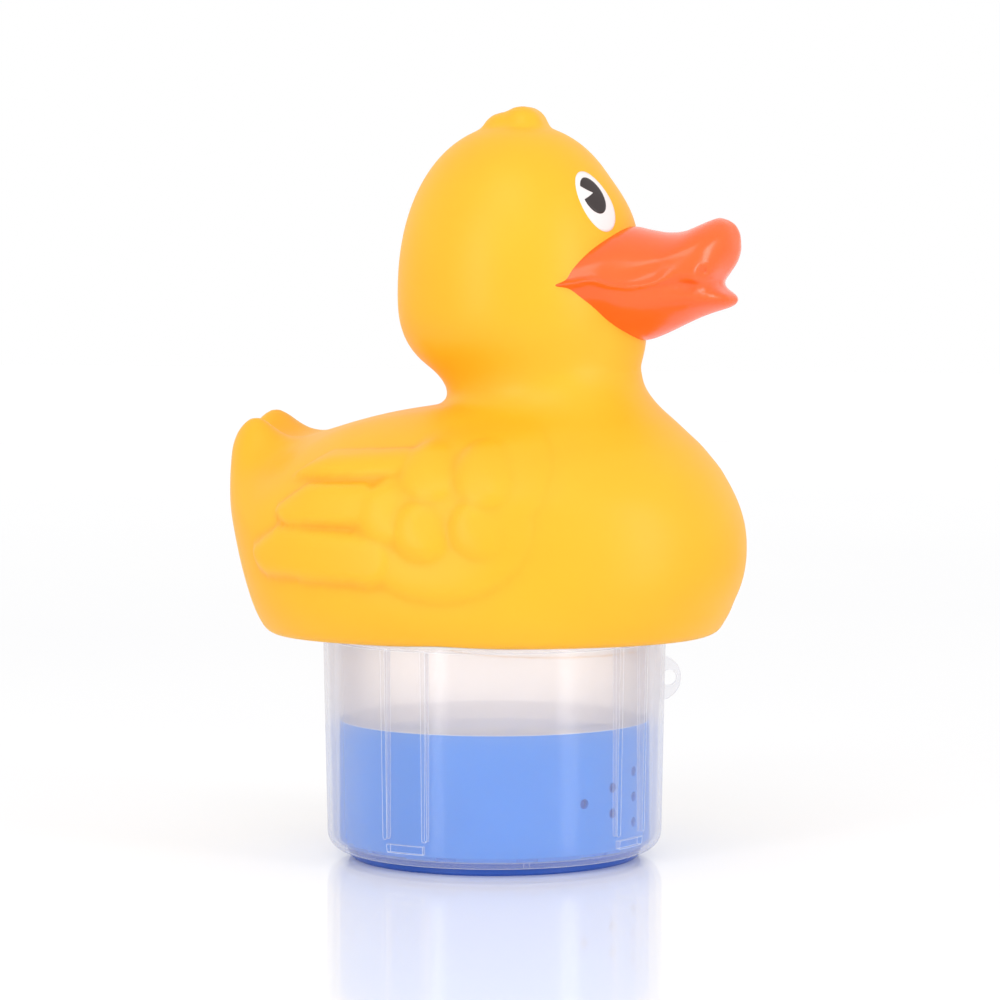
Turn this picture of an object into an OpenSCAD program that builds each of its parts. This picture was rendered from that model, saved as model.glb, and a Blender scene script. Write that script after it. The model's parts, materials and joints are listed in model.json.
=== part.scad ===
// Floating chlorine dispenser: a duck float on a clear tablet canister with a vent dial.
// Millimetres, +Z up, +X the way the duck faces, origin on the axis at the dial's underside.

/* [Canister] */
// Outer radius of the clear sleeve at its shoulder
sleeve_top_r = 65.4; // [65.2:0.1:66]
// Outer radius of the clear sleeve just above its bottom corner
sleeve_foot_r = 63.9; // [63.7:0.1:64.4]
// Wall thickness of the clear sleeve
sleeve_wall = 2.2; // [2:0.1:2.4]
// Height of the shoulder that the duck rests on
shoulder_z = 85.4; // [84.8:0.1:85.4]
// Width of one guide rib inside the sleeve
rib_w = 1.9; // [1.4:0.1:2.6]
// Angle from the middle of a guide panel to each of its ribs
rib_spread = 8.2; // [6:0.2:9]
// Turn of the first guide panel from the duck's heading
panel_turn = -16; // [-20:1:-12]
// Turn of the tether eyelet from the duck's heading
eyelet_turn = 29; // [20:1:40]
// Radius of the tether hole
tether_r = 3; // [2:0.1:3.2]

/* [Tablet chamber] */
// Outer radius of the blue vented cup
cup_r = 59.2; // [59:0.1:59.3]
// Bore radius of the cup that the dial turns in
cup_bore_r = 57.3; // [57.3:0.1:57.5]
// Height of the cup's rim
cup_rim_z = 52.5; // [52:0.5:56]
// Outer radius of the clear inner tube
tube_r = 59.4; // [59.4:0.05:59.5]
// Bore radius of the clear inner tube
tube_bore_r = 57.4; // [56.5:0.1:57.6]
// Radius of one vent
vent_r = 1.9; // [1.2:0.1:2.4]
// Angle between vent columns
vent_step = 13.9; // [12:0.1:14.2]
// Height of the middle of the vents
vent_z = 26; // [25:0.5:26]
// Height between the vents of one column
vent_gap = 9.6; // [8:0.1:9.6]

/* [Neck thread] */
// Rise of the duck in one whole turn
thread_lead = 100; // [90:5:110]
// Upright thickness of one thread rib
thread_t = 3; // [2:0.2:3.6]
// Top of the threaded neck
neck_top_z = 110; // [109:0.5:111.5]

/* [Duck] */
// Wall thickness of the hollow vinyl
vinyl_t = 2.5; // [2.2:0.1:2.8]
// Height of the duck's flat underside
duck_floor_z = 85.5; // [85.5:0.1:85.6]
// Roundness of the body sections, 2 for an ellipse
body_power = 2.4; // [2.1:0.1:3]
// Angle of each eye from the duck's heading
eye_turn = 25; // [20:1:30]

/* [Hidden] */
eps = 0.6;
gap = 0.1;
seat_z = 5;
lip_z = 2.8;
land_r = 62;
socket_r = land_r + gap;
socket_wall = 2.5;
collar_r = socket_r + socket_wall;
flange_r = 70.4;
flange_t = 1.85;
lip_bore_r = collar_r + 0.2;
cavity_z = duck_floor_z + 4.5;
screw_ring_r = 67.6;
screw_r = 1.5;
grid_z = 9.2;
tablet_z = 13;
shutter_top_z = 40;
window_z = 13.4;
dial_r = 56;
head_x = 9.5;
head_z = 222;
skin_sides = 32;
cavity_sides = 18;
bill_sides = 20;

// Body stations from tail to breast: along, low, high, half width
BODY = [
    [-103.6, 132, 148, 5],
    [-102.4, 118, 158, 18],
    [-99, 101, 165.5, 30],
    [-92, 84, 168.5, 41],
    [-80, 68, 165.5, 55],
    [-64, 60, 163, 66.5],
    [-42, 55, 167.5, 75],
    [-15, 54, 171, 79],
    [14, 54, 172, 79],
    [42, 55, 170.5, 74],
    [62, 60, 167.5, 64],
    [76, 69, 161.5, 53],
    [87, 82, 152, 40],
    [94.5, 95, 141, 26],
    [98, 107, 130, 13],
    [98.8, 114, 123, 5]
];

// Neck and head stations: height, middle, half length
HEAD = [
    [158, 14, 60],
    [165, 16, 54],
    [170.5, 19, 46.5],
    [175, 20.5, 40.8],
    [179.5, 18.6, 38],
    [184, 15.8, 38.8],
    [189, 13.4, 41.6],
    [194, 12, 44.2],
    [202, 10.3, 46.1],
    [213, 9.6, 46.6],
    [225, 9.5, 46],
    [236, 9.5, 44.4],
    [246, 9.4, 41.7],
    [255, 9, 37.9],
    [263, 8.8, 32.6],
    [270, 8.8, 25.6],
    [275.5, 8.6, 16.5],
    [278, 8.5, 8]
];

// Upper bill stations: along, middle height, half height, half width
UPPER_BILL = [
    [38, 229, 10, 35],
    [48, 229.5, 11.5, 32],
    [58, 229.5, 11, 28.5],
    [68, 229, 10.3, 26],
    [78, 230, 11, 25.5],
    [86, 232, 11.6, 24.5],
    [92, 233, 10.6, 21],
    [96, 233.5, 7.5, 14],
    [98, 234, 3, 6]
];

// Lower bill stations: along, middle height, half height, half width
LOWER_BILL = [
    [38, 209, 10, 31],
    [50, 208.5, 10.5, 28.5],
    [62, 209, 10, 25.5],
    [74, 210.5, 8.3, 23],
    [84, 212, 6.3, 20],
    [91, 212.7, 4.4, 15],
    [95.5, 212.6, 2, 7.5]
];

// Stations of the air space in the neck and head, straight below the throat
NECK_SPACE = concat([[120, 18.6, 38]], [for (s = HEAD) if (s[0] > 179) s]);

// Which sub-part to build

$fn = 96;

// A point of a superellipse at angle t
function rim(t, a, b, p) = [
    a * sign(cos(t)) * pow(abs(cos(t)), 2 / p),
    b * sign(sin(t)) * pow(abs(sin(t)), 2 / p)
];

// Every station with one rounded step between neighbours
function finer(list) = [
    for (i = [0:len(list) - 2])
        for (u = [0, 0.5])
            let (before = list[max(i - 1, 0)])
            let (after = list[min(i + 2, len(list) - 1)])
            u == 0
                ? list[i]
                : (9 * (list[i] + list[i + 1]) - before - after) / 16,
    list[len(list) - 1]
];

// Sector of a ring, from angle 0 to angle a
module ring_sector(r_in, r_out, a) {
    steps = 5;
    inner = [for (i = [0:steps]) r_in * [cos(a * i / steps), sin(a * i / steps)]];
    outer = [for (i = [steps:-1:0]) r_out * [cos(a * i / steps), sin(a * i / steps)]];
    polygon(concat(inner, outer));
}

// Screw rib that starts at angle 0, height 0 and climbs with the thread
module screw_rib(r_in, r_out, climb) {
    width = 360 * thread_t / thread_lead;
    linear_extrude(height = climb, twist = -360 * climb / thread_lead, slices = ceil(climb / 0.7), $fn = 8)
        ring_sector(r_in, r_out, width);
}

// One thin upright slice of the body across the duck's heading
module body_slice(s, shrink, sides) {
    half_h = max((s[2] - s[1]) / 2 - shrink, 1);
    half_w = max(s[3] - shrink, 1);
    translate([s[0], 0, (s[1] + s[2]) / 2])
        rotate([90, 0, 90])
            linear_extrude(height = eps)
                polygon([for (k = [0:sides - 1]) rim(360 * k / sides, half_w, half_h, body_power)]);
}

// Solid body, smaller all round by shrink
module body_form(shrink, stations, sides) {
    last = len(stations) - 1;
    list = [for (s = stations) [s[0] * (1 - shrink / 101), s[1], s[2], s[3]]];
    for (i = [0:last - 1])
        hull() {
            body_slice(list[i], shrink, sides);
            body_slice(list[i + 1], shrink, sides);
        }
}

// One thin level slice of the neck or head
module head_slice(s, shrink, sides) {
    half = max(s[2] - shrink, 1);
    translate([s[1], 0, s[0]])
        linear_extrude(height = eps)
            polygon([for (k = [0:sides - 1]) rim(360 * k / sides, half, half, 2)]);
}

// Solid neck and head, smaller all round by shrink
module head_form(shrink, stations, sides) {
    last = len(stations) - 1;
    list = [for (s = stations) [head_z + (s[0] - head_z) * (1 - shrink / 56), s[1], s[2]]];
    for (i = [0:last - 1])
        hull() {
            head_slice(list[i], shrink, sides);
            head_slice(list[i + 1], shrink, sides);
        }
}

// One thin upright slice of the bill
module bill_slice(s, shrink) {
    half_h = max(s[2] - shrink, 0.4);
    half_w = max(s[3] - shrink, 0.4);
    translate([s[0], 0, s[1]])
        rotate([90, 0, 90])
            linear_extrude(height = eps)
                polygon([for (k = [0:bill_sides - 1]) rim(360 * k / bill_sides, half_w, half_h, 2.3)]);
}

// One half of the bill, smaller all round by shrink, up to station count
module bill_half(stations, shrink, count) {
    for (i = [0:count - 2])
        hull() {
            bill_slice(stations[i], shrink);
            bill_slice(stations[i + 1], shrink);
        }
}

// Whole bill with the joint between its halves, smaller by shrink
module bill_form(shrink) {
    bill_half(UPPER_BILL, shrink, len(UPPER_BILL));
    bill_half(LOWER_BILL, shrink, len(LOWER_BILL));
    hull() {
        translate([38, 0, 218.5])
            cube([eps, 60 - 2 * shrink, 12], center = true);
        translate([84, 0, 219])
            cube([eps, 40 - 2 * shrink, 10], center = true);
    }
}

// Low lobed tuft on the crown
module tuft() {
    hull() {
        translate([9.8, 0, 276])
            sphere(r = 10, $fn = 24);
        translate([6, 0, 272])
            sphere(r = 11.5, $fn = 24);
        translate([14, 0, 271])
            sphere(r = 12, $fn = 24);
    }
}

// Everything the vinyl covers
module duck_form() {
    difference() {
        union() {
            body_form(0, finer(BODY), skin_sides);
            head_form(0, finer(HEAD), skin_sides);
            tuft();
        }
        tail_scoop();
        translate([-150, -150, -1])
            cube([300, 300, duck_floor_z + 1]);
    }
}

// Dish between the two raised corners of the tail
module tail_scoop() {
    hull() {
        translate([-112, 0, 196])
            sphere(r = 31, $fn = 32);
        translate([-84, 0, 192.5])
            sphere(r = 31, $fn = 32);
    }
}

// Air space inside the vinyl
module duck_cavity() {
    difference() {
        union() {
            body_form(vinyl_t, BODY, cavity_sides);
            head_form(vinyl_t, NECK_SPACE, cavity_sides);
        }
        translate([0, 0, -vinyl_t])
            tail_scoop();
        translate([-150, -150, -1])
            cube([300, 300, cavity_z + 1]);
    }
}

module outer_sleeve() {
    color([0.82, 0.84, 0.9, 0.5]) {
        difference() {
            sleeve_skin();
            for (side = [0:3])
                rotate([0, 0, panel_turn + 45 + 90 * side])
                    translate([57, 0, lip_z - 1])
                        cylinder(h = 4, r = 1.2);
        }
        for (side = [0:3])
            rotate([0, 0, panel_turn + 90 * side])
                guide_panel();
    }
}

// Sleeve wall with its rounded bottom corner and its shoulder
module sleeve_skin() {
    round_r = 7;
    inner_round = round_r - sleeve_wall;
    mid_r = sleeve_foot_r - round_r;
    corner = [for (i = [0:6]) mid_r + round_r * sin(15 * i)];
    rotate_extrude()
        difference() {
            union() {
                polygon([
                    [mid_r, lip_z],
                    [57.5, lip_z],
                    [57.5, seat_z],
                    [mid_r, seat_z]
                ]);
                polygon(concat(
                    [for (i = [0:6]) [corner[i], lip_z + round_r * (1 - cos(15 * i))]],
                    [[sleeve_top_r, shoulder_z - 1], [sleeve_top_r - 1, shoulder_z]],
                    [[tube_r + 0.15, shoulder_z], [tube_r + 0.15, shoulder_z - sleeve_wall]],
                    [[sleeve_top_r - sleeve_wall, shoulder_z - sleeve_wall]],
                    [for (i = [6:-1:0]) [
                        mid_r + inner_round * sin(15 * i),
                        lip_z + round_r - inner_round * cos(15 * i)
                    ]]
                ));
            }
            square([57.5, 40]);
        }
}

// Two guide ribs and the stop bar below them
module guide_panel() {
    foot_in = tube_r + 0.15;
    for (side = [-1, 1])
        rotate([0, 0, side * rib_spread]) {
            translate([foot_in, -rib_w / 2, 13.5])
                cube([63.5 - foot_in, rib_w, shoulder_z - 14.6]);
            translate([foot_in, 0, 13.5])
                rotate([0, 90, 0])
                    cylinder(h = 63.4 - foot_in, r = rib_w / 2);
        }
    rotate([0, 0, -7.4])
        rotate_extrude(angle = 14.8)
            translate([foot_in, 7.8])
                square([62.6 - foot_in, 3]);
}

// Tab welded to the outside of the sleeve, with a hole for a tether
module tether_eyelet() {
    hole_x = sleeve_top_r + tether_r + 0.4;
    color([0.82, 0.84, 0.9, 0.5])
        rotate([0, 0, eyelet_turn])
            difference() {
                translate([64.4, 1.2, 66.5])
                    rotate([90, 0, 0])
                        cylinder(h = 2.4, r = 9);
                translate([hole_x, 5, 66.5])
                    rotate([90, 0, 0])
                        cylinder(h = 10, r = tether_r);
                rotate_extrude()
                    polygon([
                        [0, lip_z + 7],
                        [sleeve_foot_r, lip_z + 7],
                        [sleeve_top_r, shoulder_z - 1],
                        [0, shoulder_z - 1]
                    ]);
            }
}

module inner_tube() {
    color([0.93, 0.95, 0.98, 0.35]) {
        rotate_extrude()
            polygon([
                [55.4, 46],
                [cup_bore_r - gap, 46],
                [cup_bore_r - gap, cup_rim_z + gap],
                [tube_r, cup_rim_z + gap],
                [tube_r, shoulder_z + 0.05],
                [land_r, shoulder_z + 0.05],
                [land_r, shoulder_z + 5.4],
                [tube_r, shoulder_z + 6.2],
                [tube_r, neck_top_z - 0.8],
                [tube_r - 0.8, neck_top_z],
                [tube_bore_r, neck_top_z],
                [tube_bore_r, cup_rim_z + 3],
                [55.4, cup_rim_z + 1]
            ]);
        for (side = [0:3])
            rotate([0, 0, 90 * side])
                translate([0, 0, 94.5])
                    screw_rib(tube_r - 0.6, land_r - 0.3, 13);
    }
}

module vent_cup() {
    color([0.16, 0.4, 0.8])
        difference() {
            rotate_extrude()
                polygon([
                    [dial_r + gap, seat_z + 0.1],
                    [cup_r - 1.9, seat_z + 0.1],
                    [cup_r, seat_z + 2],
                    [cup_r, cup_rim_z],
                    [cup_bore_r, cup_rim_z],
                    [cup_bore_r, 7.2],
                    [dial_r + gap, 7.2]
                ]);
            retainer_groove();
            for (side = [0:1])
                rotate([0, 0, panel_turn + 180 * side])
                    vent_group();
            for (k = [0:11])
                rotate([0, 0, panel_turn + 15 + 30 * k])
                    translate([56.8, -4, seat_z - 1])
                        cube([5, 8, 2.6]);
        }
}

// Columns of one, two and three vents
module vent_group() {
    for (column = [1:3])
        rotate([0, 0, 5.1 + (column - 3) * vent_step])
            for (k = [1:column])
                translate([54, 0, vent_z + vent_gap * (k - (column + 1) / 2)])
                    rotate([0, 90, 0])
                        cylinder(h = 8, r = vent_r);
}

// Groove in the cup for the snap ring
module retainer_groove() {
    translate([0, 0, shutter_top_z + 0.2])
        rotate_extrude()
            translate([cup_bore_r - 1, 0])
                square([1.8, 1.8]);
}

module dial_retainer() {
    color([0.9, 0.9, 0.88])
        difference() {
            translate([0, 0, shutter_top_z + 0.3])
                rotate_extrude()
                    translate([55.8, 0])
                        square([cup_bore_r + 0.7 - 55.8, 1.6]);
            rotate([0, 0, 100])
                translate([50, -3, shutter_top_z - 1])
                    cube([12, 6, 4]);
        }
}

module flow_dial() {
    color([0.12, 0.33, 0.72]) {
        difference() {
            dial_body();
            for (side = [0:3])
                rotate([0, 0, panel_turn + 90 * side - 68.5])
                    translate([0, 0, window_z])
                        rotate_extrude(angle = 34)
                            translate([54, 0])
                                square([5, shutter_top_z - 2 - window_z]);
        }
        translate([-24.4, -2.5, 0])
            cube([48.8, 5, 7.2]);
    }
}

// Double floor with a finger dish below and the shutter wall above
module dial_body() {
    rotate_extrude()
        polygon([
            [24, 0.8],
            [24.8, 0],
            [54.4, 0],
            [55.2, 0.8],
            [55.2, 2.6],
            [dial_r, 2.6],
            [dial_r, 7.3],
            [cup_bore_r - gap, 7.3],
            [cup_bore_r - gap, shutter_top_z],
            [cup_bore_r - 1.7, shutter_top_z],
            [cup_bore_r - 1.7, grid_z - 0.1],
            [53, grid_z - 0.1],
            [53, 2.4],
            [26.2, 2.4],
            [26.2, grid_z - 0.1],
            [0, grid_z - 0.1],
            [0, 7],
            [24, 7]
        ]);
}

module ballast_ring() {
    color([0.45, 0.46, 0.48])
        translate([0, 0, 2.5])
            rotate_extrude()
                polygon([
                    [27, 0],
                    [52.2, 0],
                    [52.2, 5.6],
                    [51.4, 6.4],
                    [27.8, 6.4],
                    [27, 5.6]
                ]);
}

module tablet_grid() {
    color([0.16, 0.4, 0.8])
        difference() {
            union() {
                translate([0, 0, grid_z])
                    cylinder(h = 1.6, r = 55.3);
                for (k = [-3:3])
                    translate([-cross_reach(14 * k), 14 * k - 1, grid_z + 1])
                        cube([2 * cross_reach(14 * k), 2, tablet_z - grid_z - 1]);
            }
            for (k = [0:7])
                rotate([0, 0, 22.5 + 45 * k])
                    translate([52, 0, grid_z - 1])
                        cylinder(h = 4, r = 1.6);
        }
}

// Half length of a chord at distance y inside the shutter wall
function cross_reach(y) = sqrt(54.8 * 54.8 - y * y);

module seal_ring() {
    color([0.1, 0.1, 0.11])
        translate([0, 0, duck_floor_z + 3.5])
            rotate_extrude()
                translate([land_r + 0.86, 0])
                    circle(r = 0.78);
}

module mounting_collar() {
    color([0.94, 0.94, 0.92]) {
        difference() {
            collar_body();
            for (k = [1:6])
                at_screw(k)
                    screw_form(0.06);
        }
        for (side = [0:3])
            rotate([0, 0, 90 * side + 22])
                translate([0, 0, 94.5 + 22 * thread_lead / 360 - thread_t - 0.25])
                    screw_rib(tube_r + 0.2, socket_r + 0.6, 3.4);
    }
}

// Threaded socket with a flange below and a closed roof
module collar_body() {
    roof = neck_top_z + 2.2;
    difference() {
        union() {
            translate([0, 0, duck_floor_z])
                cylinder(h = roof + 2.5 - duck_floor_z, r = collar_r);
            translate([0, 0, duck_floor_z])
                cylinder(h = flange_t, r = flange_r);
        }
        translate([0, 0, duck_floor_z - 1])
            cylinder(h = roof - duck_floor_z + 1, r = socket_r);
        translate([0, 0, duck_floor_z + 2.6])
            cylinder(h = 1.8, r = socket_r + 1.6);
    }
    for (k = [0:5])
        rotate([0, 0, 60 * k])
            translate([12, -1, roof + 2.4])
                cube([46, 2, 4]);
}

module clamp_ring() {
    color([0.94, 0.94, 0.92])
        difference() {
            union() {
                translate([0, 0, cavity_z + 0.05])
                    cylinder(h = 2.5, r = flange_r);
                for (k = [1:6])
                    rotate([0, 0, 60 * k + 30])
                        translate([screw_ring_r, 0, cavity_z + 0.05])
                            cylinder(h = 9, r = 2.7);
            }
            translate([0, 0, cavity_z - 1])
                cylinder(h = 12, r = collar_r + 0.1);
            for (k = [1:6])
                at_screw(k)
                    screw_form(0.06);
        }
}

// Places a part at screw k, on the flange's underside
module at_screw(k) {
    rotate([0, 0, 60 * k + 30])
        translate([screw_ring_r, 0, duck_floor_z])
            children();
}

// Countersunk screw pointing up, larger all round by grow
module screw_form(grow) {
    translate([0, 0, 0.1 - grow])
        cylinder(h = 1.3 + grow, r1 = 2.7 + 2 * grow, r2 = screw_r + grow);
    cylinder(h = 11.5 + grow, r = screw_r + grow);
}

// Screw k with its cross recess
module collar_screw(k) {
    color([0.78, 0.79, 0.81])
        at_screw(k)
            difference() {
                intersection() {
                    screw_form(0);
                    translate([0, 0, 0.1])
                        cylinder(h = 12, r = 3);
                }
                for (turn = [0, 90])
                    rotate([0, 0, turn])
                        translate([-1.5, -0.3, -1])
                            cube([3, 0.6, 2.1]);
            }
}

module duck_shell() {
    color([1, 0.8, 0.25])
        union() {
            difference() {
                duck_form();
                duck_cavity();
                bill_form(-gap);
                translate([0, 0, 80])
                    cylinder(h = 20, r = lip_bore_r);
                translate([0, 0, 80])
                    cylinder(h = duck_floor_z + flange_t + 0.1 - 80, r = flange_r + 0.4);
                for (k = [1:6])
                    at_screw(k)
                        cylinder(h = 6, r = screw_r + 0.4);
            }
        }
}

module bill() {
    color([1, 0.45, 0.2])
        union() {
            difference() {
                bill_form(0);
                head_form(vinyl_t, NECK_SPACE, cavity_sides);
                bill_half(UPPER_BILL, 3, len(UPPER_BILL) - 2);
                bill_half(LOWER_BILL, 3, len(LOWER_BILL) - 2);
            }
        }
}

// Oval column that points out of the head through one eye
module eye_column(side, half_w, half_h) {
    translate([head_x, 0, head_z])
        rotate([0, 0, side * eye_turn])
            rotate([0, -36, 0])
                rotate([0, 90, 0])
                    rotate([0, 0, side * 12])
                        scale([half_h, half_w, 1])
                            cylinder(h = 70, r = 1, $fn = 32);
}

// Thin printed film on the head inside one oval column
module eye_film(side, low, high, half_w, half_h) {
    union() {
        intersection() {
            eye_column(side, half_w, half_h);
            difference() {
                head_form(-high, finer(HEAD), skin_sides);
                head_form(-low, finer(HEAD), skin_sides);
            }
        }
    }
}

module eye_white(side) {
    color([1, 0.98, 0.96])
        union() {
            difference() {
                eye_film(side, 0.15, 0.6, 9.2, 13.4);
                eye_column(side, 5.7, 8.4);
                bill_form(-0.1);
            }
        }
}

module eye_pupil(side) {
    color([0.08, 0.07, 0.07])
        eye_film(side, 0.15, 0.75, 5.5, 8.2);
}

outer_sleeve();
tether_eyelet();
inner_tube();
vent_cup();
flow_dial();
dial_retainer();
ballast_ring();
tablet_grid();
seal_ring();
mounting_collar();
clamp_ring();
collar_screw(1);  // collar_screw_1
collar_screw(2);  // collar_screw_2
collar_screw(3);  // collar_screw_3
collar_screw(4);  // collar_screw_4
collar_screw(5);  // collar_screw_5
collar_screw(6);  // collar_screw_6
duck_shell();
bill();
eye_white(1);  // eye_white_left
eye_white(-1);  // eye_white_right
eye_pupil(1);  // eye_pupil_left
eye_pupil(-1);  // eye_pupil_right
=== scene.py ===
"""Floating chlorine dispenser: a vinyl duck float on a frosted canister with a blue vent cup."""

import json
import math

import bpy
import numpy as np
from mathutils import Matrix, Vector
from mathutils.bvhtree import BVHTree


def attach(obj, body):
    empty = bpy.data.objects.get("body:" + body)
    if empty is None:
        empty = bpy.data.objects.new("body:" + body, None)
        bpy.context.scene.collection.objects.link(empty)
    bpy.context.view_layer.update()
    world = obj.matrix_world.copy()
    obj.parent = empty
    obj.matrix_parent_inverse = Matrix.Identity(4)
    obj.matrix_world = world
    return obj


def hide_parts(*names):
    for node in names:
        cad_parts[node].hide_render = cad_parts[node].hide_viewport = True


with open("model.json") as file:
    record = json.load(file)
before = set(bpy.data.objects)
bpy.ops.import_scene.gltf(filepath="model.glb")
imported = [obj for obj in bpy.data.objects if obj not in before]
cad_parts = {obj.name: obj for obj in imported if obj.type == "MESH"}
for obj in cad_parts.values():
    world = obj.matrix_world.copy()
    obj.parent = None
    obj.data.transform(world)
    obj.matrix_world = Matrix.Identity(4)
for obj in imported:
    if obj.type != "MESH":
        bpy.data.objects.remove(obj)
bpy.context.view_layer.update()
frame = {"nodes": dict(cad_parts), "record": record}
NODES = frame["nodes"]
MM = 0.001


# ---------------------------------------------------------------- materials

def node_material(name):
    """New material with its node tree and main shader."""
    mat = bpy.data.materials.new(name)
    mat.use_nodes = True
    tree = mat.node_tree
    return mat, tree, tree.nodes["Principled BSDF"]


def set_inputs(shader, **values):
    """Sets shader inputs by name, with _ for a space."""
    for key, value in values.items():
        shader.inputs[key.replace("_", " ")].default_value = value


def noise(tree, scale, detail=3.0):
    """Cloudy noise in the object's own metres."""
    coords = tree.nodes.new("ShaderNodeTexCoord")
    tex = tree.nodes.new("ShaderNodeTexNoise")
    tex.inputs["Scale"].default_value = scale
    tex.inputs["Detail"].default_value = detail
    tree.links.new(coords.outputs["Object"], tex.inputs["Vector"])
    return tex


def add_bump(tree, shader, source, strength, distance):
    """Fine relief from source, distance metres deep."""
    bump = tree.nodes.new("ShaderNodeBump")
    bump.inputs["Strength"].default_value = strength
    bump.inputs["Distance"].default_value = distance
    tree.links.new(source, bump.inputs["Height"])
    tree.links.new(bump.outputs["Normal"], shader.inputs["Normal"])


def mottle(tree, shader, source, dark, light):
    """Base colour drifts between two near tones."""
    ramp = tree.nodes.new("ShaderNodeValToRGB")
    ramp.color_ramp.elements[0].position = 0.35
    ramp.color_ramp.elements[0].color = (*dark, 1)
    ramp.color_ramp.elements[1].position = 0.65
    ramp.color_ramp.elements[1].color = (*light, 1)
    tree.links.new(source, ramp.inputs["Fac"])
    tree.links.new(ramp.outputs["Color"], shader.inputs["Base Color"])


def math_node(tree, operation, a, b):
    """Sum, product and so on of two sockets or numbers."""
    node = tree.nodes.new("ShaderNodeMath")
    node.operation = operation
    for place, value in zip(node.inputs, (a, b)):
        if isinstance(value, (int, float)):
            place.default_value = value
        else:
            tree.links.new(value, place)
    return node.outputs[0]


def remap(tree, value, from_low, from_high, to_low, to_high):
    """Value moved from one range to another, smoothly and within its ends."""
    node = tree.nodes.new("ShaderNodeMapRange")
    node.interpolation_type = "SMOOTHSTEP"
    for name, number in (("From Min", from_low), ("From Max", from_high),
                         ("To Min", to_low), ("To Max", to_high)):
        node.inputs[name].default_value = number
    tree.links.new(value, node.inputs["Value"])
    return node.outputs[0]


def mix_shaders(tree, amount, first, second):
    """Second shader laid over the first by amount, a socket or a number."""
    node = tree.nodes.new("ShaderNodeMixShader")
    if isinstance(amount, float):
        node.inputs["Fac"].default_value = amount
    else:
        tree.links.new(amount, node.inputs["Fac"])
    tree.links.new(first, node.inputs[1])
    tree.links.new(second, node.inputs[2])
    return node.outputs[0]


def sharp_edges(tree, radius):
    """1 on the corners and rib edges of moulded plastic, 0 on its open faces."""
    rounded = tree.nodes.new("ShaderNodeBevel")
    rounded.samples = 6
    rounded.inputs["Radius"].default_value = radius
    face = tree.nodes.new("ShaderNodeNewGeometry")
    alike = tree.nodes.new("ShaderNodeVectorMath")
    alike.operation = "DOT_PRODUCT"
    tree.links.new(rounded.outputs["Normal"], alike.inputs[0])
    tree.links.new(face.outputs["True Normal"], alike.inputs[1])
    alike = math_node(tree, "ABSOLUTE", alike.outputs["Value"], 0)
    return remap(tree, alike, 0.86, 0.985, 1, 0)


def yellow_vinyl():
    """Soft matt vinyl, with painted shade that deepens its colour to orange along the wing grooves."""
    mat, tree, shader = node_material("yellow_vinyl")
    drift = noise(tree, 14.0, 2.0)
    mottle(tree, shader, drift.outputs["Fac"], (1.0, 0.475, 0.013), (1.0, 0.500, 0.017))
    skin = shader.inputs["Base Color"].links[0].from_socket
    # Painted shade: the groove attribute mixes the skin towards deep orange in the recessed wing grooves,
    # where shade falls.
    groove_shade = tree.nodes.new("ShaderNodeAttribute")
    groove_shade.attribute_name = "groove_shade"
    shade = tree.nodes.new("ShaderNodeMix")
    shade.data_type = "RGBA"
    amount, first, second = shade.inputs[0], shade.inputs[6], shade.inputs[7]
    second.default_value = (0.97, 0.330, 0.008, 1)
    tree.links.new(math_node(tree, "MULTIPLY", groove_shade.outputs["Fac"], 0.55), amount)
    tree.links.new(skin, first)
    tree.links.new(shade.outputs[2], shader.inputs["Base Color"])
    set_inputs(shader, Roughness=0.45, Subsurface_Weight=0.1, Subsurface_Scale=0.006,
               Specular_IOR_Level=0.4)
    shader.inputs["Subsurface Radius"].default_value = (1.0, 0.45, 0.12)
    grain = noise(tree, 900.0, 3.0)
    add_bump(tree, shader, grain.outputs["Fac"], 0.05, 0.0003)
    return mat


def orange_vinyl():
    """Glossier vinyl of the bill."""
    mat, tree, shader = node_material("orange_vinyl")
    drift = noise(tree, 30.0, 2.0)
    mottle(tree, shader, drift.outputs["Fac"], (0.95, 0.125, 0.014), (0.98, 0.138, 0.018))
    set_inputs(shader, Roughness=0.22, Subsurface_Weight=0.1, Subsurface_Scale=0.005)
    shader.inputs["Subsurface Radius"].default_value = (1.0, 0.3, 0.1)
    grain = noise(tree, 500.0, 2.0)
    add_bump(tree, shader, grain.outputs["Fac"], 0.04, 0.0003)
    return mat


def print_ink(name, dark, light, roughness):
    """Printed film of the eyes."""
    mat, tree, shader = node_material(name)
    drift = noise(tree, 60.0, 2.0)
    mottle(tree, shader, drift.outputs["Fac"], dark, light)
    set_inputs(shader, Roughness=roughness)
    return mat


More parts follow.
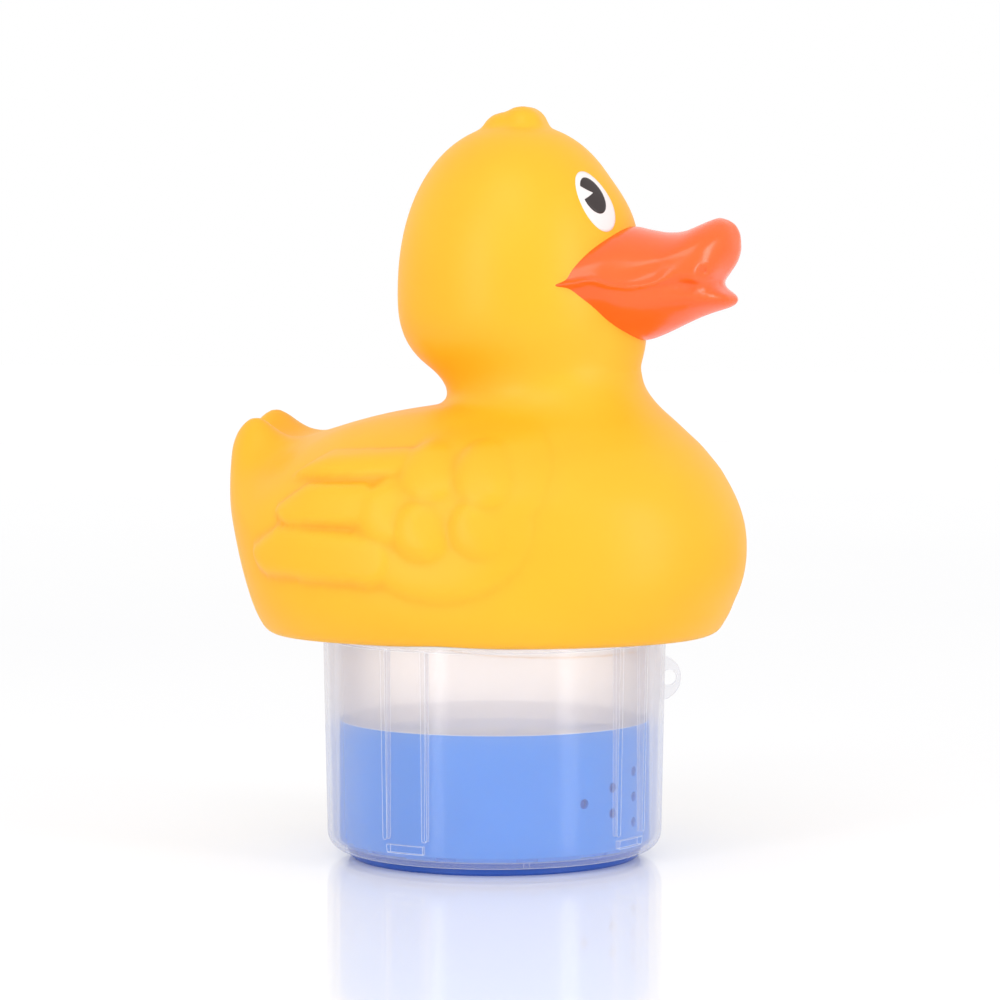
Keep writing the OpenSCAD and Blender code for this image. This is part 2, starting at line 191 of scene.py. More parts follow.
def hazy_plastic(name, haze, rim_haze, tint, painted_glow, roughness, grain_scale):
    """See-through plastic with a milky film, thicker towards its outline, with painted highlight lines
    glowing on its sharp edges and a painted warm glow in the film, brighter higher up and where it faces
    the camera.
    """
    mat, tree, shader = node_material(name)
    drift = noise(tree, 20.0, 2.0)
    mottle(tree, shader, drift.outputs["Fac"], [0.97 * t for t in tint], tint)
    set_inputs(shader, Roughness=roughness, Specular_IOR_Level=0.5)
    grain = noise(tree, grain_scale, 3.0)
    add_bump(tree, shader, grain.outputs["Fac"], 0.06, 0.0003)
    clear = tree.nodes.new("ShaderNodeBsdfTransparent")
    clear.inputs["Color"].default_value = (0.985, 0.985, 0.995, 1)
    glow = tree.nodes.new("ShaderNodeBsdfTranslucent")
    glow.inputs["Color"].default_value = (*tint, 1)
    shine = tree.nodes.new("ShaderNodeBsdfGlossy")
    shine.inputs["Roughness"].default_value = roughness
    facing = tree.nodes.new("ShaderNodeLayerWeight")
    facing.inputs["Blend"].default_value = 0.35
    facing = facing.outputs["Facing"]
    film = remap(tree, facing, 0.0, 1.0, haze, rim_haze)
    milk = mix_shaders(tree, 0.5, shader.outputs[0], glow.outputs[0])
    # Painted glow: the film emits warm light, brighter higher up and where it faces the camera, standing
    # in for light scattered inside the frosted plastic.
    shader.inputs["Emission Color"].default_value = (1.0, 0.85, 0.66, 1)
    place = tree.nodes.new("ShaderNodeNewGeometry")
    height = tree.nodes.new("ShaderNodeSeparateXYZ")
    tree.links.new(place.outputs["Position"], height.inputs[0])
    lit = remap(tree, height.outputs["Z"], 0.048, 0.078, 0.35 * painted_glow, painted_glow)
    lit = math_node(tree, "MULTIPLY", lit, remap(tree, facing, 0.1, 0.5, 1, 0))
    tree.links.new(lit, shader.inputs["Emission Strength"])
    body = mix_shaders(tree, film, clear.outputs[0], milk)
    # Painted highlight: a bluish-white emission over the sharp corners and rib edges, standing in for
    # light caught on the plastic's edges.
    painted_edge_highlight = tree.nodes.new("ShaderNodeEmission")
    painted_edge_highlight.inputs["Color"].default_value = (0.95, 0.96, 1.0, 1)
    edges = math_node(tree, "MULTIPLY", sharp_edges(tree, 0.00045), 0.8)
    body = mix_shaders(tree, edges, body, painted_edge_highlight.outputs[0])
    side = tree.nodes.new("ShaderNodeNewGeometry")
    front = math_node(tree, "SUBTRACT", 1, side.outputs["Backfacing"])
    gloss = math_node(tree, "MULTIPLY", front, remap(tree, facing, 0.45, 1.0, 0.035, 0.35))
    coat = mix_shaders(tree, gloss, body, shine.outputs[0])
    tree.links.new(coat, tree.nodes["Material Output"].inputs["Surface"])
    return mat


def blue_plastic(name, dark, light):
    """Moulded polypropylene, slightly see-into."""
    mat, tree, shader = node_material(name)
    drift = noise(tree, 18.0, 2.0)
    mottle(tree, shader, drift.outputs["Fac"], dark, light)
    set_inputs(shader, Roughness=0.35, Subsurface_Weight=0.15, Subsurface_Scale=0.004)
    grain = noise(tree, 400.0, 2.0)
    add_bump(tree, shader, grain.outputs["Fac"], 0.05, 0.0002)
    return mat


def plain(name, dark, light, roughness, metallic=0.0):
    """Finish of the parts inside: plastic, rubber, steel or iron."""
    mat, tree, shader = node_material(name)
    drift = noise(tree, 25.0, 2.0)
    mottle(tree, shader, drift.outputs["Fac"], dark, light)
    set_inputs(shader, Roughness=roughness, Metallic=metallic)
    grain = noise(tree, 300.0, 3.0)
    add_bump(tree, shader, grain.outputs["Fac"], 0.05, 0.0002)
    return mat


MATERIALS = {
    "yellow_vinyl": yellow_vinyl(),
    "orange_vinyl": orange_vinyl(),
    "eye_white": print_ink("eye_white", (0.86, 0.80, 0.79), (0.90, 0.85, 0.84), 0.35),
    "eye_black": print_ink("eye_black", (0.022, 0.012, 0.012), (0.028, 0.016, 0.016), 0.4),
    # The clear tube's film has the painted glow at full strength; the frosted sleeve has none.
    "frosted_clear": hazy_plastic("frosted_clear", 0.14, 0.44, (0.90, 0.90, 0.95), 0.0, 0.16, 260.0),
    "clear_tube": hazy_plastic("clear_tube", 0.38, 0.5, (1.0, 0.955, 0.93), 1.0, 0.12, 200.0),
    "blue_plastic": blue_plastic("blue_plastic", (0.035, 0.26, 0.80), (0.045, 0.29, 0.86)),
    "blue_dial": blue_plastic("blue_dial", (0.016, 0.09, 0.44), (0.022, 0.105, 0.50)),
    "white_plastic": plain("white_plastic", (0.78, 0.78, 0.76), (0.84, 0.84, 0.82), 0.4),
    "black_rubber": plain("black_rubber", (0.02, 0.02, 0.02), (0.03, 0.03, 0.03), 0.6),
    "stainless": plain("stainless", (0.55, 0.55, 0.56), (0.62, 0.62, 0.63), 0.3, 1.0),
    "ballast_iron": plain("ballast_iron", (0.10, 0.10, 0.11), (0.14, 0.14, 0.15), 0.55, 0.6),
}
SLOT_OF = {row["node"]: row["material_slot"] for row in frame["record"]["subparts"]}


def dress(obj, slot):
    """Gives every material slot of obj the named finish."""
    if not obj.material_slots:
        obj.data.materials.append(MATERIALS[slot])
    for place in obj.material_slots:
        place.material = MATERIALS[slot]


# ---------------------------------------------------------------- field modelling

class Grid:
    """Sample points in millimetres, as three arrays that broadcast against each other."""

    def __init__(self, low, high, step):
        self.low, self.step = np.array(low, np.float32), step
        axes = [np.arange(a, b + step, step, dtype=np.float32) for a, b in zip(low, high)]
        self.x = axes[0][:, None, None]
        self.y = axes[1][None, :, None]
        self.z = axes[2][None, None, :]


def distance_like(field, step):
    """Scales any smooth field so that it grows by about 1 per millimetre."""
    slopes = np.gradient(field, step)
    size = np.sqrt(sum(s * s for s in slopes))
    return field / np.maximum(size, 1e-3)


def join(a, b, k):
    """Smooth union with blend width k."""
    h = np.clip(0.5 + 0.5 * (b - a) / k, 0, 1)
    return b * (1 - h) + a * h - k * h * (1 - h)


def meet(a, b, k):
    """Smooth intersection with blend width k."""
    return -join(-a, -b, k)


def ramp(v, low, high):
    """0 below low, 1 above high, smooth between."""
    t = np.clip((v - low) / (high - low), 0, 1)
    return t * t * (3 - 2 * t)


def curve(v, *knots):
    """Smooth curve through (place, value) knots, flat outside them."""
    xs, ys = zip(*knots)
    xs, ys = np.array(xs, float), np.array(ys, float)
    slopes = np.gradient(ys, xs)
    i = np.clip(np.searchsorted(xs, v) - 1, 0, len(xs) - 2)
    width = xs[i + 1] - xs[i]
    t = np.clip((v - xs[i]) / width, 0, 1)
    a, b = ys[i], ys[i + 1]
    sa, sb = slopes[i] * width, slopes[i + 1] * width
    out = ((2 * t - 3) * t * t + 1) * a + (t - 2) * t * t * sa + t * sa
    out += (3 - 2 * t) * t * t * b + (t - 1) * t * t * sb
    return out.astype(np.float32)


def blur(field, rounds):
    """Field averaged with its neighbours, which rounds off small creases and corners."""
    for _ in range(rounds):
        for axis in range(3):
            ends = [(1, 1) if k == axis else (0, 0) for k in range(3)]
            wide = np.moveaxis(np.pad(field, ends, mode="edge"), axis, 0)
            field = np.moveaxis(0.25 * (wide[:-2] + wide[2:]) + 0.5 * wide[1:-1], 0, axis)
    return field


def ball(g, centre, radius):
    """Distance to a ball, negative inside."""
    return np.sqrt(sum((v - c) ** 2 for v, c in zip((g.x, g.y, g.z), centre))) - radius


def bump_at(x, y, centre, size):
    """Bell of height 1 at centre, with half sizes in x and y."""
    return np.exp(-((x - centre[0]) / size[0]) ** 2 - ((y - centre[1]) / size[1]) ** 2)


def surface_net(field, grid):
    """Vertices and quads where field changes sign, with the inside negative."""
    inside = field < 0
    shape = tuple(n - 1 for n in field.shape)
    total = np.zeros(shape + (3,), np.float32)
    count = np.zeros(shape, np.float32)
    corner = [slice(0, -1), slice(1, None)]
    for axis in range(3):
        low = [slice(None)] * 3
        high = [slice(None)] * 3
        low[axis], high[axis] = slice(0, -1), slice(1, None)
        fa, fb = field[tuple(low)], field[tuple(high)]
        crossed = inside[tuple(low)] != inside[tuple(high)]
        t = np.where(crossed, fa / np.where(crossed, fa - fb, 1), 0).astype(np.float32)
        others = [k for k in range(3) if k != axis]
        for p in (0, 1):
            for q in (0, 1):
                pick = [slice(None)] * 3
                pick[others[0]], pick[others[1]] = corner[p], corner[q]
                hit = crossed[tuple(pick)]
                count += hit
                total[..., axis] += np.where(hit, t[tuple(pick)], 0)
                total[..., others[0]] += hit * p
                total[..., others[1]] += hit * q
    active = count > 0
    index = np.full(shape, -1, np.int64)
    index[active] = np.arange(int(active.sum()))
    cells = np.argwhere(active)
    points = grid.low + grid.step * (cells + total[active] / count[active][:, None])
    quads = []
    for axis in range(3):
        low = [slice(None)] * 3
        high = [slice(None)] * 3
        low[axis], high[axis] = slice(0, -1), slice(1, None)
        crossed = inside[tuple(low)] != inside[tuple(high)]
        i, j = [k for k in range(3) if k != axis]
        spots = np.argwhere(crossed)
        spots = spots[(spots[:, i] > 0) & (spots[:, j] > 0)]
        spots = spots[(spots[:, i] < shape[i]) & (spots[:, j] < shape[j])]
        ring = []
        for di, dj in ((1, 1), (0, 1), (0, 0), (1, 0)):
            cell = spots.copy()
            cell[:, i] -= di
            cell[:, j] -= dj
            ring.append(index[cell[:, 0], cell[:, 1], cell[:, 2]])
        ring = np.stack(ring, 1)
        flip = inside[spots[:, 0], spots[:, 1], spots[:, 2]] ^ (axis == 1)
        ring[~flip] = ring[~flip][:, ::-1]
        quads.append(ring)
    quads = np.concatenate(quads)
    return points.astype(np.float64), quads[(quads >= 0).all(1)]


def relax(points, quads, rounds):
    """Evens out the net by moving each vertex towards its neighbours' mean."""
    a = quads.ravel()
    b = np.roll(quads, -1, axis=1).ravel()
    count = np.bincount(a, minlength=len(points)) + np.bincount(b, minlength=len(points))
    for _ in range(rounds):
        mean = np.zeros_like(points)
        for axis in range(3):
            mean[:, axis] = np.bincount(a, points[b, axis], len(points))
            mean[:, axis] += np.bincount(b, points[a, axis], len(points))
        points = points + 0.5 * (mean / np.maximum(count, 1)[:, None] - points)
    return points


def vertex_normals(points, quads):
    """Unit normals of the net's vertices."""
    a, b, c, d = (points[quads[:, k]] for k in range(4))
    face = np.cross(c - a, d - b)
    out = np.zeros_like(points)
    for k in range(4):
        for axis in range(3):
            out[:, axis] += np.bincount(quads[:, k], face[:, axis], len(points))
    return out / np.maximum(np.linalg.norm(out, axis=1), 1e-9)[:, None]


def make_mesh(name, points, faces, slot):
    """Smooth-shaded mesh object from points in millimetres."""
    mesh = bpy.data.meshes.new(name)
    mesh.from_pydata((np.asarray(points) * MM).tolist(), [], [list(face) for face in faces])
    mesh.update()
    obj = bpy.data.objects.new(name, mesh)
    bpy.context.collection.objects.link(obj)
    mesh.polygons.foreach_set("use_smooth", [True] * len(mesh.polygons))
    dress(obj, slot)
    return obj


# ---------------------------------------------------------------- duck

BODY_MID_X = -0.8
BODY_BOTTOM_Z = 85.5
FLANGE_RECESS_RADIUS = 70.8
LIP_BORE_RADIUS = 64.9
INSIDE_RADIUS = 72
HEAD_X = 9.1


def body_field(g):
    """Boat-shaped body whose breast climbs to the neck and whose tail has two horns."""
    dx = g.x - BODY_MID_X
    front = curve(g.z, (78, 79), (85, 86), (89, 88.3), (93.7, 91), (98.3, 92.9), (103, 95),
                  (110, 97), (119, 97.8), (126, 97.3), (135, 94.8), (144, 90.4), (149, 87.4),
                  (153, 84.2), (158, 80), (162.5, 75.2), (167, 70.4), (172, 64.6), (177, 58.5), (186, 48))
    back = curve(g.z, (78, 80), (87, 85.6), (91, 88), (96, 90.3), (105, 93.5), (114, 96.2),
                 (123, 98.4), (132, 100.2), (142, 101), (151, 101.4), (156, 101.4), (162, 100.4),
                 (170, 96))
    width = curve(g.z, (78, 68), (87, 72.6), (95, 75.7), (105, 76.6), (117, 75.6), (130, 74),
                  (142, 71), (152, 64.3), (162, 54), (172, 44), (186, 34))
    length = np.where(dx > 0, front, back)
    n = 2.4 - 0.3 * ramp(g.x, 0, 60)
    plan = ((np.abs(dx) / length) ** n + (np.abs(g.y) / width) ** n) ** (1 / n) - 1
    plan = distance_like(plan, g.step)
    spine = curve(g.x, (-108, 156.5), (-98, 156.5), (-88, 156.5), (-80, 157.5), (-73, 159.5),
                  (-65, 162.5), (-57, 165), (-40, 169.4), (-19, 173), (10, 178), (60, 190))
    fall = 0.0026 + 0.006 * ramp(-g.x, 45, 90)
    top = spine - fall * g.y ** 2
    top = top + 14.5 * bump_at(g.x, g.y, (-93, -17), (13, 10))
    top = top + 18.5 * bump_at(g.x, g.y, (-100.5, 12.5), (20, 12))
    top = distance_like(g.z - top, g.step)
    body = meet(plan, top, 16 - 8 * ramp(-g.x, 55, 80))
    return meet(body, BODY_BOTTOM_Z - g.z + 0 * body, 3.5)


def head_field(g):
    """Egg-shaped head on a short neck, with a lobed tuft."""
    dz = np.abs(g.z - 214)
    side = np.sqrt(((g.x - HEAD_X) / 45.7) ** 2 + (g.y / 45.2) ** 2)
    upper = (side ** 2.2 + (dz / 65) ** 2.2) ** (1 / 2.2)
    lower = (side ** 2.5 + (dz / 35) ** 2.5) ** (1 / 2.5)
    head = distance_like(np.where(g.z > 214, upper, lower) - 1, g.step)
    neck = np.sqrt((g.x - 18.8) ** 2 + (g.y * 1.02) ** 2) - 35.6
    neck = meet(neck, g.z - 212 + 0 * neck, 6)
    out = join(head, neck, 9)
    for centre, radius in (((31, 0, 234), 23.6), ((37, 0, 198), 21.3)):
        out = join(out, ball(g, centre, radius), 7)
    for centre, radius in (((4.6, -2.5, 274.2), 9.0), ((4.6, 2.5, 274.2), 9.0),
                           ((11.8, -3, 276.7), 8.8), ((11.8, 3, 276.7), 8.8)):
        out = join(out, ball(g, centre, radius), 1.6)
    return out


def pillow(depth, rise, roll):
    """Height of a soft-edged pad, from the distance inside its outline."""
    t = np.clip(depth / roll, 0, 1)
    return rise * np.sqrt(1 - (1 - t) ** 2)


def inside_bar(x, z, start, end, radius):
    """Distance inside a round-ended bar."""
    ax, az = start
    bx, bz = end[0] - ax, end[1] - az
    t = np.clip(((x - ax) * bx + (z - az) * bz) / (bx * bx + bz * bz), 0, 1)
    return radius - np.hypot(x - ax - t * bx, z - az - t * bz)


def inside_oval(x, z, centre, half):
    """Distance inside an oval, near enough for a soft pad."""
    r = np.hypot((x - centre[0]) / half[0], (z - centre[1]) / half[1])
    return (1 - r) * min(half)


def inside_feather(x, z, start, end, radius, edge):
    """Distance inside a long feather: a bar whose tip is cut on a slant through edge."""
    slant = 0.55 * (x - edge[0]) - 0.835 * (z - edge[1])
    return np.minimum(inside_bar(x, z, start, end, radius), slant)


def wing_relief(x, z):
    """Height of the folded wing: three long feathers behind five scalloped ones."""
    feathers = (((-59, 151.5), (-15, 153), 4.9, (-54, 152)),
                ((-59, 136.8), (-30, 137.5), 7.6, (-58, 141)),
                ((-68, 119.8), (-25, 117.5), 9.2, (-71, 124.5)))
    scallops = (((-2.5, 150.5), (12.5, 11.8), 2.4), ((18.5, 150), (13, 12.8), 2.4),
                ((-17.5, 134.5), (12.2, 11), 2.2), ((-3.8, 128.8), (11.9, 11), 3.0),
                ((17.5, 130), (11.8, 11), 2.4))
    pad = np.maximum(inside_oval(x, z, (2, 129), (34, 26)), inside_oval(x, z, (12, 148), (27.5, 26)))
    height = pillow(pad, 2.2, 9)
    for feather in feathers:
        depth = inside_feather(x, z, *feather)
        height = np.maximum(height, (depth > 0) * (0.9 + pillow(depth, 2.2, 5)))
    for centre, half, rise in scallops:
        depth = inside_oval(x, z, centre, half)
        slope = 1 - 0.6 * ramp(x - centre[0] + 0.6 * (z - centre[1]), -5, 14)
        height = np.maximum(height, (depth > 0) * (1.7 + pillow(depth, rise, 7)) * slope)
    top_fade = 1 - ramp(z - 0.12 * x, 155, 168)
    front_fade = 1 - 0.5 * ramp(x, 20, 38)
    return height * top_fade * front_fade


def raise_wings(points, quads):
    """Points with the wing relief pushed out of both flanks, and each point's painted groove shade, 0 to
    1, highest where the relief sits below its surroundings.
    """
    normals = vertex_normals(points, quads)
    x, z = points[:, 0], points[:, 2]
    flank = ramp(np.abs(normals[:, 1]), 0.3, 0.6) * ramp(np.abs(points[:, 1]), 38, 48)
    lift = wing_relief(x, z) * flank * (x < 60)
    a, b = quads.ravel(), np.roll(quads, -1, axis=1).ravel()
    count = np.maximum(np.bincount(a, minlength=len(x)) + np.bincount(b, minlength=len(x)), 1)

    def soften(values, rounds):
        for _ in range(rounds):
            mean = np.bincount(a, values[b], len(x)) + np.bincount(b, values[a], len(x))
            values = 0.5 * values + 0.5 * mean / count
        return values

    lift = soften(lift, 3)
    # Painted shade amount: how far the softened lift stands above the point's own lift, that is how deep
    # the point sits in a groove.
    groove_shade = np.clip((soften(lift, 9) - lift) / 0.5, 0, 1)
    return points + normals * (lift - 0.2)[:, None], soften(groove_shade, 1)


def cut(obj, *shapes):
    """Cuts closed shapes out of obj, then removes them."""
    for shape in shapes:
        mod = obj.modifiers.new("cut", "BOOLEAN")
        mod.operation = "DIFFERENCE"
        mod.solver = "EXACT"
        mod.object = shape
        with bpy.context.temp_override(object=obj, active_object=obj):
            bpy.ops.object.modifier_apply(modifier=mod.name)
        bpy.data.objects.remove(shape, do_unlink=True)


def drum(radius, low, high):
    """Closed upright cylinder in millimetres, used as a cutter."""
    sides = 160
    turns = [2 * math.pi * k / sides for k in range(sides)]
    points = [(radius * math.cos(t), radius * math.sin(t), z) for z in (low, high) for t in turns]
    faces = [[k, (k + 1) % sides, sides + (k + 1) % sides, sides + k] for k in range(sides)]
    mesh = bpy.data.meshes.new("drum")
    mesh.from_pydata([[v * MM for v in p] for p in points], [],
                     faces + [list(range(sides))[::-1], list(range(sides, 2 * sides))])
    obj = bpy.data.objects.new("drum", mesh)
    bpy.context.collection.objects.link(obj)
    return obj


def build_duck():
    """Body, neck and head in one skin, with a drum-shaped hollow in the body that opens at the bottom for
    the collar.
    """
    grid = Grid((-110, -88, 78), (106, 88, 294), 1.3)
    blend = 5 + 7 * ramp(grid.x, 0, 50)
    field = join(body_field(grid), head_field(grid), blend)
    points, quads = surface_net(field, grid)
    points, groove_shade = raise_wings(relax(points, quads, 3), quads)
    duck = make_mesh("duck_vinyl", points, quads, "yellow_vinyl")
    # The painted groove shade is stored on the skin for the yellow vinyl to darken its colour in the
    # grooves.
    duck.data.attributes.new("groove_shade", "FLOAT", "POINT").data.foreach_set("value", groove_shade)
    cut(duck, drum(FLANGE_RECESS_RADIUS, 80, 87.45), drum(LIP_BORE_RADIUS, 80, 92),
        drum(INSIDE_RADIUS, 90, 118))
    for poly in duck.data.polygons:
        poly.use_smooth = abs(poly.normal.z) < 0.999
    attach(duck, "duck")
    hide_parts("duck_shell")
    return duck


duck = build_duck()


# ---------------------------------------------------------------- bill and eyes

def crease_at(x):
    """Height of the line between the bill's halves."""
    return curve(x, (30, 218), (39.5, 218.6), (48.6, 219.8), (54, 218.2), (61, 217.6), (70, 219),
                 (78, 221), (84, 220.6), (89, 219), (98, 217))


UPPER_HALF_WIDTH = ((30, 35.5), (39.5, 33.8), (45, 32.4), (50, 30.8), (58, 28), (68, 25.4),
                    (77, 24.8), (83, 23.6), (87, 21.6), (90, 18.8), (93, 14), (95, 8.5), (96.5, 3))
LOWER_HALF_WIDTH = ((30, 35.3), (40, 33.5), (50, 31), (60, 27), (70, 24), (80, 20.4),
                    (86, 17), (91, 12.5), (94, 8), (96, 2))
LIP_OVERLAP = 0.9


def upper_bill(g, crease, outer):
    """Flared upper half, and its half width along the bill."""
    top = curve(g.x, (30, 234), (40, 235.6), (46, 237.6), (55, 239.9), (61.3, 238.7), (68.8, 237.6),
                (75.3, 238.2), (81.3, 240.6), (85.3, 242.3), (89.5, 243.6), (98, 244.5))
    set_back = 95.8 - curve(g.z, (216, 82), (219, 87.9), (221, 90.2), (224.5, 93.2), (229, 95.3),
                            (234, 95.8), (238.5, 95), (241.4, 92.8), (243.4, 89), (246, 83))
    reach = g.x + set_back * outer
    wide = curve(reach, *UPPER_HALF_WIDTH)
    lip = crease + LIP_OVERLAP
    rise = np.where(g.z > lip, top - lip, 2.0)
    upper = np.sqrt((np.abs(g.y) / wide) ** 2 + ((g.z - lip) / rise) ** 2) - 1
    return meet(distance_like(upper, g.step), reach - 95.8, 3), wide


def lower_bill(g, crease, outer):
    """Shorter lower half, boat-shaped in section."""
    bottom = curve(g.x, (30, 195), (50, 196.6), (56, 196.8), (62, 197.6), (65.7, 198.9),
                   (70.8, 201.2), (75.8, 203.6), (81.8, 206.2), (88.3, 208.4), (95, 210), (102, 211))
    set_back = 95 - curve(g.z, (205, 84), (208.5, 91.5), (210, 94), (211.7, 95), (214, 94.2),
                          (216, 91.5), (218, 88.5), (221, 83))
    reach = g.x + set_back * outer
    narrow = curve(reach, *LOWER_HALF_WIDTH)
    lip = crease - LIP_OVERLAP
    drop = np.where(g.z < lip, lip - bottom, 1.6)
    power = curve(g.x, (45, 1.6), (65, 1.8), (80, 2.1))
    lower = ((np.abs(g.y) / narrow) ** power + (np.abs(g.z - lip) / drop) ** power) ** (1 / power) - 1
    return meet(distance_like(lower, g.step), reach - 95, 3)


def bill_core(g, crease):
    """Flat wedge along the crease that ties the halves together inside."""
    tall = curve(g.x, (60, 5), (78, 3.5), (87, 1.2))
    wide = 0.5 * (curve(g.x, *UPPER_HALF_WIDTH) + curve(g.x, *LOWER_HALF_WIDTH)) - 2
    core = np.sqrt((np.abs(g.y) / wide) ** 2 + ((g.z - crease) / tall) ** 2) - 1
    return meet(distance_like(core, g.step), g.x - 84.5 + 0 * core, 3)


def build_bill():
    """Open bill: two halves with a crease between, hollow cheeks and a small pit at the mouth."""
    g = Grid((20, -42, 186), (102, 42, 254), 0.85)
    side = np.abs(g.y)
    crease = crease_at(g.x)
    outer = ramp(g.x, 64, 82)
    upper, wide = upper_bill(g, crease, outer)
    field = join(join(upper, lower_bill(g, crease, outer), 3.6), bill_core(g, crease), 2.4)
    mouth = bump_at(g.x, g.z, (88, 221), (7, 5))
    field = field + mouth * (blur(np.clip(field, -6, 6), 9) - field)
    ridge = curve(g.x, (55, 221.5), (58, 222.6), (67, 226), (75, 229), (81.2, 232), (88.8, 238.3))
    hollow = crease + 0.55 * (ridge - crease)
    spread = 2.6 + 3 * ramp(g.x, 70, 88)
    flank = ramp(side / wide, 0.45, 0.8) * ramp(g.x, 54, 70) * (1 - ramp(g.x, 91, 96))
    field = field + 1.1 * flank * np.exp(-((g.z - hollow) / spread) ** 2)
    pit = ((g.x - 86.2) / 1.0) ** 2 + ((g.z - 223.5) / 1.2) ** 2 + ((side - 19) / 6) ** 2
    field = field + 1.6 * np.exp(-pit)
    points, quads = surface_net(field, g)
    bill = make_mesh("bill_vinyl", relax(points, quads, 3), quads, "orange_vinyl")
    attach(bill, "duck")
    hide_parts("bill")


class Skin:
    """Finds points on the finished duck, in millimetres."""

    def __init__(self, obj):
        self.tree = BVHTree.FromObject(obj, bpy.context.evaluated_depsgraph_get())

    def hit(self, start, heading):
        """First point on the skin along heading, and the normal there."""
        place, normal, _, _ = self.tree.ray_cast(Vector(start) * MM, Vector(heading))
        return place / MM, normal


EYE_TURN = math.radians(26)
EYE_HEIGHT = 249.4
EYE_TILT = math.radians(22)
EYE_LEAN = math.radians(-9.6)
FILM_ROOT = -0.4


def eye_frame(skin, side):
    """Centre, across (forward), along (up) and outward directions of one eye."""
    turn = side * EYE_TURN
    out = Vector((math.cos(turn), math.sin(turn), 0))
    centre, _ = skin.hit(Vector((HEAD_X, 0, EYE_HEIGHT)) + out * 80, -out)
    normal = Vector((math.cos(turn) * math.cos(EYE_TILT), math.sin(turn) * math.cos(EYE_TILT),
                     math.sin(EYE_TILT)))
    forward = Vector((math.sin(abs(turn)), -side * math.cos(turn), 0))
    up = side * forward.cross(normal)
    across = forward * math.cos(EYE_LEAN) - up * math.sin(EYE_LEAN)
    along = up * math.cos(EYE_LEAN) + forward * math.sin(EYE_LEAN)
    return centre, across, along, normal


def printed_patch(name, skin, side, middle, outline, thickness, slot):
    """Thin film on the head, filled from middle out to the outline (eye-plane mm)."""
    centre, across, along, normal = eye_frame(skin, side)
    rings = [0.0, 0.25, 0.5, 0.75, 0.93, 1.0]
    count = len(outline)
    points = []
    for level in (thickness, FILM_ROOT):
        for ring in rings:
            for u, v in (outline if ring else outline[:1]):
                a = middle[0] + (u - middle[0]) * ring
                b = middle[1] + (v - middle[1]) * ring
                start = centre + across * a + along * b + normal * 20
                place, slope = skin.hit(start, -normal)
                lift = level * (1 if ring < 1 or level < 0 else 0.5)
                points.append(place + slope * lift)
    layer = 1 + (len(rings) - 1) * count
    faces = []
    for base in (0, layer):
        sheet = [[base, base + 1 + k, base + 1 + (k + 1) % count] for k in range(count)]
        for r in range(len(rings) - 2):
            a, b = base + 1 + r * count, base + 1 + (r + 1) * count
            sheet += [[a + k, b + k, b + (k + 1) % count, a + (k + 1) % count]
                      for k in range(count)]
        faces += sheet if base == 0 else [face[::-1] for face in sheet]
    rim = layer - count
    faces += [[rim + k, layer + rim + k, layer + rim + (k + 1) % count, rim + (k + 1) % count]
              for k in range(count)]
    if side > 0:
        faces = [face[::-1] for face in faces]
    patch = make_mesh(name, points, faces, slot)
    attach(patch, "duck")
    return patch


def oval(centre, half, start, end, count):
    """Points of an ellipse between two angles in degrees."""
    out = []
    for k in range(count):
        t = math.radians(start + (end - start) * k / (count - 1))
        out.append((centre[0] + half[0] * math.cos(t), centre[1] + half[1] * math.sin(t)))
    return out


def build_eyes(skin):
    """White ovals and notched pupils, printed on both sides of the head."""
    white = oval((0, 0), (7.8, 12.45), 0, 354, 60)
    pupil = oval((-0.4, 2.2), (5.15, 7.6), -175, 142, 56) + [(-2.2, 4.8), (0.1, 3.1), (-2.7, 2.2)]
    for side, name in ((1, "left"), (-1, "right")):
        patch = printed_patch("eye_white_print_" + name, skin, side, (0, 0), white, 0.22,
                              "eye_white")
        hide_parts("eye_white_" + name)
        patch = printed_patch("eye_pupil_print_" + name, skin, side, (1.8, 2.6), pupil, 0.42,
                              "eye_black")
        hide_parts("eye_pupil_" + name)


build_bill()
build_eyes(Skin(duck))


# ---------------------------------------------------------------- canister and hardware

for name, obj in NODES.items():
    dress(obj, SLOT_OF[name])


# ---------------------------------------------------------------- studio

VIEW_TURN = math.radians(17)
CAMERA_DISTANCE = 1.5
CAMERA_HEIGHT = 0.2295
FRAME_WIDTH = 0.3805
FRAME_MIDDLE = (0.0021, 0.1359)
LIGHT_AIM = (0, 0, 0.15)


def camera_frame(right, depth, up):
    """Point given by its offsets as the camera sees them."""
    s, c = math.sin(VIEW_TURN), math.cos(VIEW_TURN)
    return (right * c + depth * s, right * s - depth * c, up)


def build_camera():
    """Camera off the duck's right flank, looking slightly down at the middle of the frame."""
    data = bpy.data.cameras.new("camera")
    data.lens = 36 * CAMERA_DISTANCE / FRAME_WIDTH
    data.clip_end = 100
    obj = bpy.data.objects.new("camera", data)
    aim = Vector(camera_frame(FRAME_MIDDLE[0], 0, FRAME_MIDDLE[1]))
    obj.location = camera_frame(FRAME_MIDDLE[0], CAMERA_DISTANCE, CAMERA_HEIGHT)
    obj.rotation_euler = (aim - obj.location).to_track_quat("-Z", "Y").to_euler()
    bpy.context.collection.objects.link(obj)
    bpy.context.scene.camera = obj


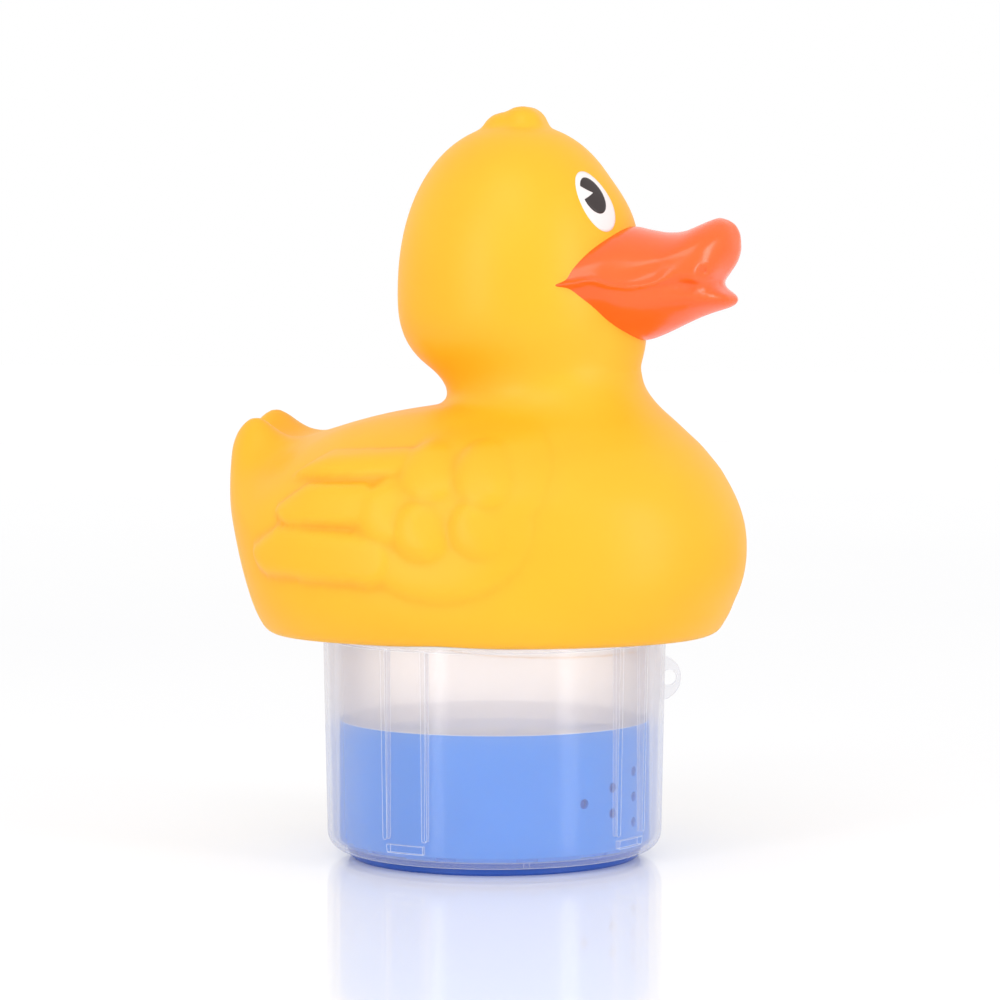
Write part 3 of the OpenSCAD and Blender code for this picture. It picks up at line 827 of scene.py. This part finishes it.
def build_floor():
    """Glossy pale table that mirrors the canister and fades into the white room."""
    size = 6.0
    mesh = bpy.data.meshes.new("table_top")
    mesh.from_pydata([(-size, -size, 0), (size, -size, 0), (size, size, 0), (-size, size, 0)],
                     [], [(0, 1, 2, 3)])
    obj = bpy.data.objects.new("table_top", mesh)
    bpy.context.collection.objects.link(obj)
    mat, tree, shader = node_material("table_top")
    drift = noise(tree, 2.0, 1.0)
    mottle(tree, shader, drift.outputs["Fac"], (0.95, 0.95, 0.97), (0.97, 0.97, 0.98))
    set_inputs(shader, Roughness=0.06)
    shader.inputs["Emission Color"].default_value = (1, 0.97, 0.98, 1)
    shader.inputs["Emission Strength"].default_value = 0.06
    obj.data.materials.append(mat)


def build_world(seen, cast):
    """White room: seen is what the camera and mirrors see, cast is the light on surfaces."""
    world = bpy.data.worlds.new("studio")
    bpy.context.scene.world = world
    world.use_nodes = True
    tree = world.node_tree
    back = tree.nodes["Background"]
    back.inputs["Color"].default_value = (1, 1, 1, 1)
    path = tree.nodes.new("ShaderNodeLightPath")
    level = tree.nodes.new("ShaderNodeMapRange")
    level.inputs["To Min"].default_value = seen
    level.inputs["To Max"].default_value = cast
    tree.links.new(path.outputs["Is Diffuse Ray"], level.inputs["Value"])
    tree.links.new(level.outputs[0], back.inputs["Strength"])


def softbox(name, turn, rise, distance, size, radiance):
    """Area light placed by its angles from the camera's line, aimed at the object."""
    turn, rise = math.radians(turn), math.radians(rise)
    place = camera_frame(distance * math.cos(rise) * math.sin(turn),
                         distance * math.cos(rise) * math.cos(turn),
                         LIGHT_AIM[2] + distance * math.sin(rise))
    data = bpy.data.lights.new(name, "AREA")
    data.shape = "RECTANGLE"
    data.size, data.size_y = size
    data.energy = radiance * math.pi * size[0] * size[1]
    obj = bpy.data.objects.new(name, data)
    obj.location = place
    obj.rotation_euler = (Vector(LIGHT_AIM) - Vector(place)).to_track_quat("-Z", "Y").to_euler()
    bpy.context.collection.objects.link(obj)


build_camera()
build_floor()
build_world(1.0, 0.8)
softbox("left_box", -38, 8, 1.3, (0.2, 1.1), 6.0)
softbox("right_box", 51, 8, 1.3, (0.3, 1.1), 5.0)
softbox("front_top", -12, 48, 1.6, (0.9, 0.6), 2.2)
bpy.context.scene.view_settings.view_transform = "Standard"
bpy.context.scene.cycles.transparent_max_bounces = 40
